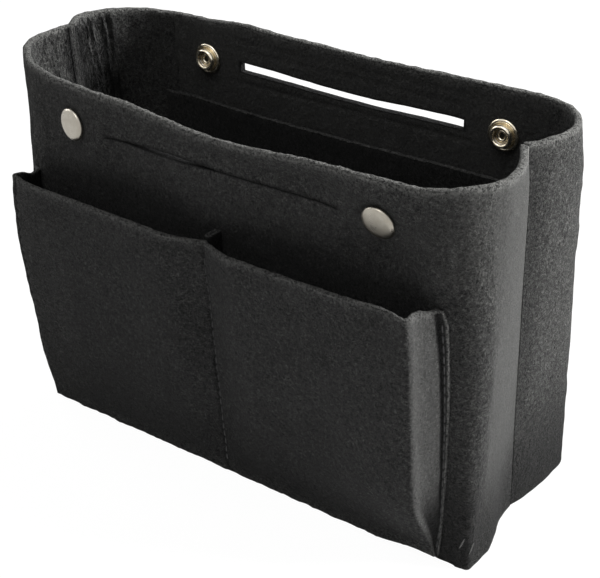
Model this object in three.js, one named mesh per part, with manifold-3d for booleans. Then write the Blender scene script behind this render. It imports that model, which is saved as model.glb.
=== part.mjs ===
// Felt purse organizer insert: an open box of two bent felt shells whose ends are creased
// inward along a standing seam, a felt base, a gusseted double pocket sewn on the front, a flat
// pocket inside and two ring-spring snaps that pinch the mouth shut. Millimetres, +Z up, the
// front faces -Y. The origin is the middle of the object's box, on the surface it stands on.
import * as THREE from "three";
import { mergeVertices } from "three/addons/utils/BufferGeometryUtils.js";
import Module from "manifold-3d";

// Overall size of the felt box
const BODY_DEPTH = 87;
const BODY_HEIGHT = 156;
const FELT = 3;
const GAP = 0.3;
const OVERRUN = 5;

// The ends: half the box's length on the base and at the rim, and how large the corners are
const BASE_HALF_LENGTH = 110;
const RIM_OVERHANG = 7;
const BASE_CORNER = 8;
const RIM_CORNER = 30;
const END_WRAP = 20;

// Corners as shares of the four sizes above: half is how far the end reaches from the middle,
// length and depth are the rounding along and across the shell. power is how late the end turns
// in to its crease. The felt is soft, and the left end stands further out at the rim.
const cornerShares = {
  frontLeft: {
    base: { half: 0.973, length: 1.12, depth: 1.12, power: 2 },
    rim: { half: 0.993, length: 1.33, depth: 0.93, power: 2 },
  },
  frontRight: {
    base: { half: 1.02, length: 0.53, depth: 0.53, power: 1.3 },
    rim: { half: 0.974, length: 0.8, depth: 0.67, power: 2 },
  },
  rearLeft: {
    base: { half: 1, length: 1, depth: 1, power: 2 },
    rim: { half: 1.034, length: 1.67, depth: 0.87, power: 2 },
  },
  rearRight: {
    base: { half: 1, length: 1, depth: 1.25, power: 2.6 },
    rim: { half: 0.974, length: 1, depth: 0.73, power: 2 },
  },
};

// Each end is drawn in to a crease at its middle, where the two shells are sewn together
const creaseShares = {
  left: { base: 0.955, rim: 0.983 },
  right: { base: 0.955, rim: 0.91 },
};
const SEAM_FLANGE_REACH = 8;
const SEAM_FLANGE_FELT = 2.4;

// Rim and slots
const FRONT_RIM_SAG = 4;
const REAR_RIM_SAG = 1.6;
const REAR_RIM_SAG_SPREAD = 21;
const FRONT_LIP_FLARE = 3;
const FRONT_LIP_FLARE_X = 45;
const FRONT_LIP_FLARE_WIDTH = 55;
const SLOT_MARGIN = 36;
const REAR_SLOT_HEIGHT = 5;
const REAR_SLOT_DROOP = 0.6;
const FRONT_SLIT_HEIGHT = 1.2;
const FRONT_SLIT_DROOP = 0.5;
const FRONT_SLIT_BELOW_SNAPS = 1.4;
const SNAP_BELOW_RIM = 18.2;
const SNAP_MARGIN = 18;

// Front pocket
const POCKET_FELT = 2;
const POCKET_BELOW_RIM = 45;
const POCKET_BOTTOM = 0.4;
const POCKET_DEPTH = 13.7;
const POCKET_BASE_DEPTH = 0.3;
const POCKET_TOP_MARGIN = 15.5;
const POCKET_BASE_MARGIN = 10.5;
const POCKET_TOP_FLANGE = 5.5;
const POCKET_BASE_FLANGE = 0.8;
const POCKET_GUSSET_BOTTOM = 9;
const POCKET_SEAM_DEPTH = 8;
const POCKET_SEAM_WIDTH = 11;
const DIVIDER_BOTTOM = 24;
const POCKET_RISE = 4;
const POCKET_RISE_POWER = 3;

// How far the pocket's top edge stands above the seam, as shares of its rise, from left to right
const pocketRiseShares = [1, 0.66, 0.48, 0.5, 0.08, 0.25, 0.12, 0.3, 0.2];

// Inside pocket, sewn flat on the rear shell
const INNER_POCKET_FELT = 2;
const INNER_POCKET_BELOW_RIM = 37;
const INNER_POCKET_BOTTOM = 9;
const INNER_POCKET_MARGIN = 18;
const INNER_POCKET_MOUTH = 2.4;
const INNER_POCKET_MOUTH_POWER = 3;

// Snap fasteners, all turned round an axis that runs along Y
const SNAP_CAP_RADIUS = 6.25;
const SNAP_CAP_DOME = 2.4;
const SNAP_CAP_EDGE = 0.7;
const SNAP_POST_RADIUS = 1.6;
const SNAP_POST_HEAD_RADIUS = 2.2;
const SNAP_POST_HEAD = 0.5;
const SNAP_HOLE_RADIUS = SNAP_POST_RADIUS + GAP;
const STUD_FLANGE_RADIUS = 5.6;
const STUD_FLANGE = 0.8;
const STUD_HEIGHT = 3.6;
const STUD_NECK_RADIUS = 2.7;
const STUD_HEAD_RADIUS = 3.05;
const STUD_TIP_RADIUS = 2.5;
const STUD_FOOT = 0.2;
const STUD_NECK_SHARE = 0.45;
const STUD_HEAD_START_SHARE = 0.72;
const STUD_HEAD_END_SHARE = 0.86;
const SOCKET_RADIUS = 6.4;
const SOCKET_ROUND = 0.4;
const SOCKET_FLOOR = 0.8;
const SOCKET_HEIGHT = 2.9;
const SOCKET_CHAMBER_RADIUS = 3.8;
const SOCKET_MOUTH_RADIUS = 3.2;
const SOCKET_LIP = 0.55;
const SPRING_WIRE_RADIUS = 0.25;
const SPRING_OPEN_ANGLE = Math.PI / 4;
const BACK_CAP_RADIUS = 6.25;
const BACK_CAP_HEIGHT = 0.9;
const BACK_CAP_EDGE = 0.3;
const BACK_BORE_RADIUS = 1.25;
const BACK_ROLL_RADIUS = 2.6;
const BACK_ROLL = 0.7;
const BACK_ROLL_ROUND = 0.3;

// Facets
const CORNER_STEPS = 8;
const CREASE_STEPS = 7;
const WALL_STEPS = 28;
const POCKET_STEPS = 44;
const POCKET_SPACING_POWER = 0.5;
const LATHE_SEGMENTS = 24;
const DOME_STEPS = 6;
const HOLE_SEGMENTS = 12;
const WIRE_SIDES = 6;
const WIRE_STEPS = 20;
const levelShares = [0, 0.12, 0.3, 0.5, 0.7, 0.84, 0.93, 1];
const pocketLevelShares = [0, 0.06, 0.14, 0.25, 0.4, 0.55, 0.7, 0.84, 0.93, 1];

// Places that follow from the sizes above
const MIDDLE = BODY_DEPTH / 2;
const FRONT_INNER = FELT;
const REAR_INNER = BODY_DEPTH - FELT;
const RIM_HALF_LENGTH = BASE_HALF_LENGTH + RIM_OVERHANG;
const FRONT_MOST = -(POCKET_DEPTH + GAP + POCKET_FELT);
const REAR_MOST = BODY_DEPTH + GAP + BACK_CAP_HEIGHT;
const LEFT_MOST = -RIM_HALF_LENGTH * cornerShares.rearLeft.rim.half;
const RIGHT_MOST = RIM_HALF_LENGTH * cornerShares.rearRight.rim.half;
const WALL_HALF_LENGTH = BASE_HALF_LENGTH - END_WRAP;
const SLOT_HALF_LENGTH = WALL_HALF_LENGTH - SLOT_MARGIN;
const SNAP_HALF_SPACING = WALL_HALF_LENGTH - SNAP_MARGIN;
const SNAP_HEIGHT = BODY_HEIGHT - SNAP_BELOW_RIM;
const POCKET_TOP = BODY_HEIGHT - POCKET_BELOW_RIM;
const POCKET_HEIGHT = POCKET_TOP - POCKET_BOTTOM;
const POCKET_TOP_HALF_WIDTH = BASE_HALF_LENGTH - POCKET_TOP_MARGIN;
const POCKET_BASE_HALF_WIDTH = BASE_HALF_LENGTH - POCKET_BASE_MARGIN;
const INNER_POCKET_TOP = BODY_HEIGHT - INNER_POCKET_BELOW_RIM;
const INNER_POCKET_HALF_WIDTH = BASE_HALF_LENGTH - INNER_POCKET_MARGIN;

const FELT_COLOUR = 0x242426;
const METAL_COLOUR = 0xc9c3b8;
const felt = new THREE.MeshStandardMaterial({ color: FELT_COLOUR, roughness: 0.97, metalness: 0 });
const nickel = new THREE.MeshStandardMaterial({ color: METAL_COLOUR, roughness: 0.32, metalness: 1 });

const wasm = await Module();
wasm.setup();

const lerp = THREE.MathUtils.lerp;

// A closed solid through level outlines of equal length, each counter-clockwise from above.
function loft(outlines) {
  const count = outlines[0].length;
  const positions = outlines.flat().flatMap((p) => [p.x, p.y, p.z]);
  const index = [];
  for (let level = 0; level + 1 < outlines.length; level++) {
    for (let i = 0; i < count; i++) {
      const a = level * count + i;
      const b = level * count + ((i + 1) % count);
      index.push(a, b, b + count, a, b + count, a + count);
    }
  }
  const top = (outlines.length - 1) * count;
  const flat = outlines[0].map((p) => new THREE.Vector2(p.x, p.y));
  const flatTop = outlines[outlines.length - 1].map((p) => new THREE.Vector2(p.x, p.y));
  for (const [a, b, c] of THREE.ShapeUtils.triangulateShape(flat, [])) index.push(a, c, b);
  for (const [a, b, c] of THREE.ShapeUtils.triangulateShape(flatTop, [])) index.push(top + a, top + b, top + c);
  const geometry = new THREE.BufferGeometry();
  geometry.setAttribute("position", new THREE.Float32BufferAttribute(positions, 3));
  geometry.setIndex(index);
  return geometry;
}

// A geometry as a manifold-3d solid, and back.
function solidOf(geometry) {
  const bare = geometry.clone();
  bare.deleteAttribute("normal");
  bare.deleteAttribute("uv");
  const merged = mergeVertices(bare);
  const mesh = new wasm.Mesh({
    numProp: 3,
    vertProperties: new Float32Array(merged.attributes.position.array),
    triVerts: new Uint32Array(merged.index.array),
  });
  return new wasm.Manifold(mesh);
}

function geometryOf(solid) {
  const mesh = solid.getMesh();
  const geometry = new THREE.BufferGeometry();
  geometry.setAttribute("position", new THREE.Float32BufferAttribute(mesh.vertProperties, mesh.numProp));
  geometry.setIndex(new THREE.BufferAttribute(mesh.triVerts, 1));
  return geometry;
}

function cut(geometry, cutters) {
  return geometryOf(cutters.reduce((left, cutter) => left.subtract(solidOf(cutter)), solidOf(geometry)));
}

// A corner at a share of the height, square-cornered below and wide above.
function cornerAt(share, side, rear) {
  const { base, rim } = cornerShares[(rear ? "rear" : "front") + (side < 0 ? "Left" : "Right")];
  return {
    half: lerp(base.half * BASE_HALF_LENGTH, rim.half * RIM_HALF_LENGTH, share),
    length: lerp(base.length * BASE_CORNER, rim.length * RIM_CORNER, share),
    depth: lerp(base.depth * BASE_CORNER, rim.depth * RIM_CORNER, share),
    power: lerp(base.power, rim.power, share),
  };
}

function creaseAt(share, side) {
  const { base, rim } = side < 0 ? creaseShares.left : creaseShares.right;
  return lerp(base * BASE_HALF_LENGTH, rim * RIM_HALF_LENGTH, share);
}

// How far a face that lies inside a corner's outer face by an inset is from the flat outer face,
// at a distance x from the box's middle.
function insetFaceAt(corner, inset, x) {
  const length = corner.length - inset;
  const part = THREE.MathUtils.clamp((x - corner.half + corner.length) / length, 0, 1);
  return inset + (corner.depth - inset) * (1 - Math.sqrt(1 - part * part));
}

// The same for a shell at a share of its height, left or right of the middle.
const shellFaceAt = (x, share, rear, inset) => {
  return insetFaceAt(cornerAt(share, Math.sign(x), rear), inset, Math.abs(x));
};

// A face of half an end in plan, x along the length and y from the flat outer face inward. It
// leaves the flat wall, turns the corner and is drawn in to the crease, where it ends at endY.
function endLine(corner, creaseX, inset, endY) {
  const start = WALL_HALF_LENGTH + GAP;
  const half = corner.half - inset;
  const line = [];
  for (let i = 0; i <= CORNER_STEPS; i++) {
    const x = lerp(start, half, Math.sin((i / CORNER_STEPS) * (Math.PI / 2)));
    line.push(new THREE.Vector2(x, insetFaceAt(corner, inset, x)));
  }
  for (let i = 1; i <= CREASE_STEPS; i++) {
    const part = i / CREASE_STEPS;
    const x = half - (corner.half - creaseX) * part ** corner.power;
    line.push(new THREE.Vector2(x, lerp(corner.depth, endY, part)));
  }
  return line;
}

// Half an end of the box, with the flange of its standing seam. side is -1 left or 1 right.
function endHalf(side, rear) {
  const outlines = levelShares.map((share) => {
    const corner = cornerAt(share, side, rear);
    const creaseX = creaseAt(share, side);
    const seamY = MIDDLE - GAP / 2;
    const flangeY = seamY - SEAM_FLANGE_FELT;
    const tip = creaseX - SEAM_FLANGE_REACH;
    const outline = [
      ...endLine(corner, creaseX, 0, seamY),
      new THREE.Vector2(tip, seamY),
      new THREE.Vector2(tip, flangeY),
      ...endLine(corner, creaseX, FELT, flangeY).reverse(),
    ];
    const placed = outline.map((p) => {
      return new THREE.Vector3(side * p.x, rear ? BODY_DEPTH - p.y : p.y, share * BODY_HEIGHT);
    });
    return side * (rear ? -1 : 1) > 0 ? placed : placed.reverse();
  });
  return loft(outlines);
}

// A hump of height 1 over the slot, zero beyond its ends and as much further out as spread says.
function overSlot(x, spread) {
  const part = Math.min(Math.abs(x) / (SLOT_HALF_LENGTH + spread), 1);
  return Math.cos((part * Math.PI) / 2) ** 2;
}

// How far the front rim's lip leans out, right of its middle.
function lipFlare(x, share, rear) {
  const part = Math.min(Math.abs(x - FRONT_LIP_FLARE_X) / FRONT_LIP_FLARE_WIDTH, 1);
  return rear || share < 1 ? 0 : FRONT_LIP_FLARE * Math.cos((part * Math.PI) / 2) ** 2;
}

// The flat stretch of a shell between its corners, its rim sagging over the slot.
function wall(rear, rimSag, spread) {
  const outlines = levelShares.map((share) => {
    const xs = Array.from({ length: WALL_STEPS + 1 }, (_, i) => {
      return lerp(-WALL_HALF_LENGTH, WALL_HALF_LENGTH, i / WALL_STEPS);
    });
    const sag = (x) => (share * BODY_HEIGHT > SNAP_HEIGHT ? rimSag * overSlot(x, spread) : 0);
    const point = (x, inset) => {
      const y = shellFaceAt(x, share, rear, inset) - lipFlare(x, share, rear);
      return new THREE.Vector3(x, rear ? BODY_DEPTH - y : y, share * BODY_HEIGHT - sag(x));
    };
    const outer = xs.map((x) => point(x, 0));
    const inner = xs.map((x) => point(x, FELT));
    return rear ? [...inner, ...outer.reverse()] : [...outer, ...inner.reverse()];
  });
  return loft(outlines);
}

// Cutter of a slot, square-ended, its upper lip drooping in the middle.
function slotCutter(height, droop, y, z) {
  const low = z - height / 2;
  const high = z + height / 2;
  const half = SLOT_HALF_LENGTH;
  const shape = new THREE.Shape();
  shape.moveTo(-half, low);
  shape.lineTo(half, low);
  shape.lineTo(half, high);
  shape.quadraticCurveTo(0, high - 2 * droop, -half, high);
  shape.closePath();
  const depth = FELT + 2 * OVERRUN;
  const geometry = new THREE.ExtrudeGeometry(shape, { depth, bevelEnabled: false, curveSegments: WALL_STEPS });
  return geometry.rotateX(Math.PI / 2).translate(0, y + FELT + OVERRUN, 0);
}

function holeCutter(x, y) {
  const length = FELT + 2 * OVERRUN;
  const geometry = new THREE.CylinderGeometry(SNAP_HOLE_RADIUS, SNAP_HOLE_RADIUS, length, HOLE_SEGMENTS);
  return geometry.translate(x, y, SNAP_HEIGHT);
}

function frontWall() {
  const cutters = [-1, 1].map((side) => holeCutter(side * SNAP_HALF_SPACING, 0));
  const z = SNAP_HEIGHT - FRONT_SLIT_BELOW_SNAPS;
  const slit = slotCutter(FRONT_SLIT_HEIGHT, FRONT_SLIT_DROOP, 0, z);
  return cut(wall(false, FRONT_RIM_SAG, 0), [slit, ...cutters]);
}

function rearWall() {
  const cutters = [-1, 1].map((side) => holeCutter(side * SNAP_HALF_SPACING, BODY_DEPTH));
  const slot = slotCutter(REAR_SLOT_HEIGHT, REAR_SLOT_DROOP, REAR_INNER, SNAP_HEIGHT);
  return cut(wall(true, REAR_RIM_SAG, REAR_RIM_SAG_SPREAD), [slot, ...cutters]);
}

// A quarter of the base's outline: inside a shell's corner, and notched for the seam flange.
function baseQuarter(side, rear) {
  const inset = FELT + GAP;
  const corner = cornerAt(FELT / BODY_HEIGHT, side, rear);
  corner.half = cornerAt(0, side, rear).half;
  const line = endLine(corner, creaseAt(0, side), inset, MIDDLE - inset);
  const notch = new THREE.Vector2(line[line.length - 1].x - SEAM_FLANGE_REACH - GAP, MIDDLE - inset);
  return [...line, notch].map((p) => new THREE.Vector2(side * p.x, rear ? BODY_DEPTH - p.y : p.y));
}

function basePanel() {
  const shape = new THREE.Shape([
    ...baseQuarter(1, false),
    ...baseQuarter(1, true).reverse(),
    ...baseQuarter(-1, true),
    ...baseQuarter(-1, false).reverse(),
  ]);
  return new THREE.ExtrudeGeometry(shape, { depth: FELT, bevelEnabled: false });
}

// How far the pocket's felt stands off the front wall at a height, beside the middle seam.
function pocketDepthAt(z) {
  const part = 1 - (z - POCKET_BOTTOM) / POCKET_HEIGHT;
  return lerp(POCKET_BASE_DEPTH, POCKET_DEPTH, 1 - part * part);
}

const pocketHalfWidthAt = (z) => {
  return lerp(POCKET_BASE_HALF_WIDTH, POCKET_TOP_HALF_WIDTH, (z - POCKET_BOTTOM) / POCKET_HEIGHT);
};

// The same at the middle seam, where the felt is drawn in towards the divider behind it.
const pocketSeamDepthAt = (z) => {
  return lerp(POCKET_BASE_DEPTH, POCKET_SEAM_DEPTH, (z - POCKET_BOTTOM) / POCKET_HEIGHT);
};

function pocketBackAt(x, z) {
  const near = Math.exp(-((x / POCKET_SEAM_WIDTH) ** 2));
  return lerp(pocketDepthAt(z), Math.min(pocketSeamDepthAt(z), pocketDepthAt(z)), near);
}

// How much higher a point of the pocket at a distance x from its middle stands.
function pocketRiseAt(x, share) {
  const last = pocketRiseShares.length - 1;
  const place = THREE.MathUtils.clamp((x / POCKET_TOP_HALF_WIDTH + 1) / 2, 0, 1) * last;
  const left = Math.min(Math.floor(place), last - 1);
  const rise = lerp(pocketRiseShares[left], pocketRiseShares[left + 1], place - left);
  return POCKET_RISE * rise * share ** POCKET_RISE_POWER;
}

function pocketPanel() {
  const outlines = pocketLevelShares.map((share) => {
    const z = lerp(POCKET_BOTTOM, POCKET_TOP, share);
    const half = pocketHalfWidthAt(z);
    const point = (x, y) => new THREE.Vector3(x, y, z + pocketRiseAt(x, share));
    const xs = Array.from({ length: POCKET_STEPS + 1 }, (_, i) => {
      const part = (2 * i) / POCKET_STEPS - 1;
      return half * part * Math.abs(part) ** POCKET_SPACING_POWER;
    });
    const back = (x) => -(pocketBackAt(x, z) + GAP);
    const front = xs.map((x) => point(x, back(x) - POCKET_FELT));
    const rear = xs.map((x) => point(x, back(x)));
    return [...front, ...rear.reverse()];
  });
  return loft(outlines);
}

// The fold of felt behind the middle seam, two layers sewn on the wall, that parts the pockets.
function pocketDivider() {
  const outlines = pocketLevelShares.map((share) => {
    const z = lerp(DIVIDER_BOTTOM, POCKET_TOP, share);
    const high = z + pocketRiseAt(0, (z - POCKET_BOTTOM) / POCKET_HEIGHT);
    const back = -pocketBackAt(0, z);
    return [
      new THREE.Vector3(-POCKET_FELT, back, high),
      new THREE.Vector3(POCKET_FELT, back, high),
      new THREE.Vector3(POCKET_FELT, -GAP, high),
      new THREE.Vector3(-POCKET_FELT, -GAP, high),
    ];
  });
  return loft(outlines);
}

// A pocket's side gusset: a strip from the wall out to the panel, and the flange sewn on the wall.
function pocketGusset(side) {
  const outlines = pocketLevelShares.map((share) => {
    const z = lerp(POCKET_GUSSET_BOTTOM, POCKET_TOP, share);
    const onWall = (x) => shellFaceAt(side * x, z / BODY_HEIGHT, false, -GAP);
    const outer = pocketHalfWidthAt(z);
    const inner = outer - POCKET_FELT;
    const edge = outer + lerp(POCKET_BASE_FLANGE, POCKET_TOP_FLANGE, share);
    const outline = [
      new THREE.Vector2(inner, onWall(inner)),
      new THREE.Vector2(inner, -pocketDepthAt(z)),
      new THREE.Vector2(outer, -pocketDepthAt(z)),
      new THREE.Vector2(outer, onWall(outer) - POCKET_FELT),
      new THREE.Vector2(edge, onWall(edge) - POCKET_FELT),
      new THREE.Vector2(edge, onWall(edge)),
    ];
    const high = z + pocketRiseAt(side * outer, share);
    const placed = outline.map((p) => new THREE.Vector3(side * p.x, p.y, high));
    return side > 0 ? placed : placed.reverse();
  });
  return loft(outlines);
}

// The flat pocket inside: sewn at its sides and foot, its mouth standing open a little.
function innerPocket() {
  const outlines = pocketLevelShares.map((share) => {
    const z = lerp(INNER_POCKET_BOTTOM, INNER_POCKET_TOP, share);
    const xs = Array.from({ length: WALL_STEPS + 1 }, (_, i) => {
      return lerp(-INNER_POCKET_HALF_WIDTH, INNER_POCKET_HALF_WIDTH, i / WALL_STEPS);
    });
    const mouth = INNER_POCKET_MOUTH * share ** INNER_POCKET_MOUTH_POWER;
    const open = (x) => mouth * Math.cos((x / INNER_POCKET_HALF_WIDTH) * (Math.PI / 2));
    const rear = (x) => BODY_DEPTH - shellFaceAt(x, z / BODY_HEIGHT, true, FELT + GAP) - open(x);
    const inner = xs.map((x) => new THREE.Vector3(x, rear(x) - INNER_POCKET_FELT, z));
    const outer = xs.map((x) => new THREE.Vector3(x, rear(x), z));
    return [...inner, ...outer.reverse()];
  });
  return loft(outlines);
}

// A turned part from [radius, y] pairs, its profile closed on the axis or on itself.
function turned(profile) {
  const points = profile.map(([radius, y]) => new THREE.Vector2(radius, y));
  const area = THREE.ShapeUtils.area(points);
  if (area < 0) points.reverse();
  return new THREE.LatheGeometry([...points, points[0].clone()], LATHE_SEGMENTS);
}

// The domed cap in front, its post through the felt and the stud, spread over at the end.
function snapCap() {
  const under = -GAP;
  const headStart = FRONT_INNER + GAP + STUD_HEIGHT + GAP;
  const headEnd = headStart + SNAP_POST_HEAD;
  const dome = Array.from({ length: DOME_STEPS }, (_, i) => {
    const angle = (i / DOME_STEPS) * (Math.PI / 2);
    const rise = SNAP_CAP_DOME - SNAP_CAP_EDGE;
    return [SNAP_CAP_RADIUS * Math.sin(angle), under - SNAP_CAP_EDGE - rise * Math.cos(angle)];
  });
  return turned([
    ...dome,
    [SNAP_CAP_RADIUS, under - SNAP_CAP_EDGE],
    [SNAP_CAP_RADIUS - SNAP_CAP_EDGE / 2, under],
    [SNAP_POST_RADIUS, under],
    [SNAP_POST_RADIUS, headStart],
    [SNAP_POST_HEAD_RADIUS, headStart],
    [SNAP_POST_HEAD_RADIUS, headEnd],
    [0, headEnd],
  ]);
}

// The stud inside the front shell: a flange and a waisted nub, bored for the cap's post.
function snapStud() {
  const seat = FRONT_INNER + GAP;
  const tip = seat + STUD_HEIGHT;
  return turned([
    [SNAP_HOLE_RADIUS, seat],
    [STUD_FLANGE_RADIUS, seat],
    [STUD_FLANGE_RADIUS, seat + STUD_FLANGE],
    [STUD_NECK_RADIUS + STUD_FLANGE, seat + STUD_FLANGE + STUD_FOOT],
    [STUD_NECK_RADIUS, lerp(seat, tip, STUD_NECK_SHARE)],
    [STUD_HEAD_RADIUS, lerp(seat, tip, STUD_HEAD_START_SHARE)],
    [STUD_HEAD_RADIUS, lerp(seat, tip, STUD_HEAD_END_SHARE)],
    [STUD_TIP_RADIUS, tip],
    [SNAP_HOLE_RADIUS, tip],
  ]);
}

// The socket inside the rear shell: a wide flange and a raised pan whose lip keeps the spring.
function snapSocket() {
  const seat = REAR_INNER - GAP;
  const floor = seat - SOCKET_FLOOR;
  const tip = seat - SOCKET_HEIGHT;
  const outer = SOCKET_CHAMBER_RADIUS + SOCKET_LIP;
  return turned([
    [SNAP_HOLE_RADIUS, seat],
    [SOCKET_RADIUS - SOCKET_ROUND, seat],
    [SOCKET_RADIUS, seat - SOCKET_ROUND],
    [SOCKET_RADIUS - SOCKET_ROUND, floor],
    [outer, floor + SOCKET_ROUND / 2],
    [outer, tip + SOCKET_ROUND],
    [outer - SOCKET_ROUND, tip],
    [SOCKET_MOUTH_RADIUS + SOCKET_ROUND / 2, tip],
    [SOCKET_MOUTH_RADIUS, tip + SOCKET_ROUND / 2],
    [SOCKET_MOUTH_RADIUS, tip + SOCKET_LIP],
    [SOCKET_CHAMBER_RADIUS, tip + SOCKET_LIP],
    [SOCKET_CHAMBER_RADIUS, floor],
    [SNAP_HOLE_RADIUS, floor],
  ]);
}

// The open wire ring in the socket that grips the stud.
function snapSpring() {
  const radius = SOCKET_CHAMBER_RADIUS - SPRING_WIRE_RADIUS - GAP;
  const y = REAR_INNER - GAP - SOCKET_HEIGHT + SOCKET_LIP + GAP + SPRING_WIRE_RADIUS;
  const start = SPRING_OPEN_ANGLE / 2;
  const points = Array.from({ length: WIRE_STEPS + 1 }, (_, i) => {
    const angle = lerp(start, 2 * Math.PI - start, i / WIRE_STEPS);
    return new THREE.Vector3(radius * Math.cos(angle), y, radius * Math.sin(angle));
  });
  const section = new THREE.Shape().absarc(0, 0, SPRING_WIRE_RADIUS, 0, 2 * Math.PI);
  const path = new THREE.CatmullRomCurve3(points);
  const options = { steps: WIRE_STEPS, extrudePath: path, curveSegments: WIRE_SIDES };
  return new THREE.ExtrudeGeometry(section, options);
}

// The low cap behind the rear shell, its hollow post through the felt and rolled over in the
// socket as a ring.
function snapBackCap() {
  const seat = BODY_DEPTH + GAP;
  const rollStart = REAR_INNER - GAP - SOCKET_FLOOR - GAP;
  const rollEnd = rollStart - BACK_ROLL;
  const dome = Array.from({ length: DOME_STEPS }, (_, i) => {
    const angle = (i / DOME_STEPS) * (Math.PI / 2);
    const rise = BACK_CAP_HEIGHT - BACK_CAP_EDGE;
    return [BACK_CAP_RADIUS * Math.sin(angle), seat + BACK_CAP_EDGE + rise * Math.cos(angle)];
  });
  return turned([
    ...dome,
    [BACK_CAP_RADIUS, seat + BACK_CAP_EDGE],
    [BACK_CAP_RADIUS - BACK_CAP_EDGE, seat],
    [SNAP_POST_RADIUS, seat],
    [SNAP_POST_RADIUS, rollStart],
    [BACK_ROLL_RADIUS, rollStart],
    [BACK_ROLL_RADIUS, rollEnd + BACK_ROLL_ROUND],
    [BACK_ROLL_RADIUS - BACK_ROLL_ROUND, rollEnd],
    [BACK_BORE_RADIUS + BACK_ROLL_ROUND, rollEnd],
    [BACK_BORE_RADIUS, rollEnd + BACK_ROLL_ROUND],
    [BACK_BORE_RADIUS, seat],
    [0, seat],
  ]);
}

function named(name, geometry, material) {
  const mesh = new THREE.Mesh(geometry, material);
  mesh.name = name;
  return mesh;
}

const root = new THREE.Group();
const box = new THREE.Group();
box.position.set(-(LEFT_MOST + RIGHT_MOST) / 2, -(FRONT_MOST + REAR_MOST) / 2, 0);
root.add(box);

box.add(
  named("front_wall", frontWall(), felt),
  named("rear_wall", rearWall(), felt),
  named("base_panel", basePanel(), felt),
  named("front_pocket_panel", pocketPanel(), felt),
  named("pocket_divider", pocketDivider(), felt),
  named("inner_pocket_panel", innerPocket(), felt),
);

for (const [label, side] of [["left", -1], ["right", 1]]) {
  box.add(
    named(`end_front_${label}`, endHalf(side, false), felt),
    named(`end_rear_${label}`, endHalf(side, true), felt),
    named(`pocket_gusset_${label}`, pocketGusset(side), felt),
  );
  const snap = new THREE.Group();
  snap.position.set(side * SNAP_HALF_SPACING, 0, SNAP_HEIGHT);
  snap.add(
    named(`snap_cap_${label}`, snapCap(), nickel),
    named(`snap_stud_${label}`, snapStud(), nickel),
    named(`snap_socket_${label}`, snapSocket(), nickel),
    named(`snap_spring_${label}`, snapSpring(), nickel),
    named(`snap_back_cap_${label}`, snapBackCap(), nickel),
  );
  box.add(snap);
}

export default root;
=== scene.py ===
import math

import bpy
import numpy as np
from mathutils import Matrix, Vector


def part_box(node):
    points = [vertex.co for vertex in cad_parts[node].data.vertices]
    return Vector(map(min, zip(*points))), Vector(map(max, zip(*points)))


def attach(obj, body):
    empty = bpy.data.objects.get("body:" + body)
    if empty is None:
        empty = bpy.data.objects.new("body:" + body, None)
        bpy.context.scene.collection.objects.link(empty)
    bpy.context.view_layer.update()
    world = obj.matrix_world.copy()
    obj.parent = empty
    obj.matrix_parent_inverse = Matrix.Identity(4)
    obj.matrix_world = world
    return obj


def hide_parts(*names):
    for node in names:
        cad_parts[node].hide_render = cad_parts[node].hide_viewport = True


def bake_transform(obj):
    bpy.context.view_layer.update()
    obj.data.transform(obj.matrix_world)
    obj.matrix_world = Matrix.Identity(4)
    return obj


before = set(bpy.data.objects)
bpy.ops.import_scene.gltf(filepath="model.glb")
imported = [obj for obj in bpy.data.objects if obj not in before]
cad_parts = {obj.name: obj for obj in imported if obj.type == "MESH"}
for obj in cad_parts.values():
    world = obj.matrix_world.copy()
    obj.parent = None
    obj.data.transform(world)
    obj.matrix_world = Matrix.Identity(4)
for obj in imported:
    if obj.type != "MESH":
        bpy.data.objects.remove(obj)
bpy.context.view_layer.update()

# Sizes are in millimetres in the felt box's own frame: x from the middle of the front, y from
# the front wall's outer face towards the rear, z up from the surface it stands on.
MM = 0.001
FELT = 3
POCKET_FELT = 2
GAP = 0.3
GRID = 1.8
POCKET_RISE = 4

BASE_LOW, BASE_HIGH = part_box("base_panel")
REAR_LOW, REAR_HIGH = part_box("rear_wall")
POCKET_LOW, POCKET_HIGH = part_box("front_pocket_panel")
INNER_POCKET_LOW, INNER_POCKET_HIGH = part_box("inner_pocket_panel")
CAP_LEFT = sum(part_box("snap_cap_left"), Vector()) / 2
CAP_RIGHT = sum(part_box("snap_cap_right"), Vector()) / 2
MIDDLE_X = (CAP_LEFT.x + CAP_RIGHT.x) / 2
MIDDLE_Y = (BASE_LOW.y + BASE_HIGH.y) / 2
FRONT_Y = 2 * MIDDLE_Y - REAR_HIGH.y
ORIGIN = np.array((MIDDLE_X, FRONT_Y, 0))
DEPTH = (REAR_HIGH.y - FRONT_Y) / MM
MIDDLE = DEPTH / 2
HEIGHT = REAR_HIGH.z / MM
WALL_HALF = (REAR_HIGH.x - REAR_LOW.x) / 2 / MM
SNAP_X = (CAP_RIGHT.x - CAP_LEFT.x) / 2 / MM
SNAP_Z = CAP_LEFT.z / MM
POCKET_FOOT = POCKET_LOW.z / MM
POCKET_TOP = POCKET_HIGH.z / MM - POCKET_RISE
POCKET_DEPTH = (FRONT_Y - POCKET_LOW.y) / MM - GAP - POCKET_FELT
INNER_POCKET_HALF = (INNER_POCKET_HIGH.x - INNER_POCKET_LOW.x) / 2 / MM
INNER_POCKET_TOP = INNER_POCKET_HIGH.z / MM
INNER_POCKET_FOOT = INNER_POCKET_LOW.z / MM

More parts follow.
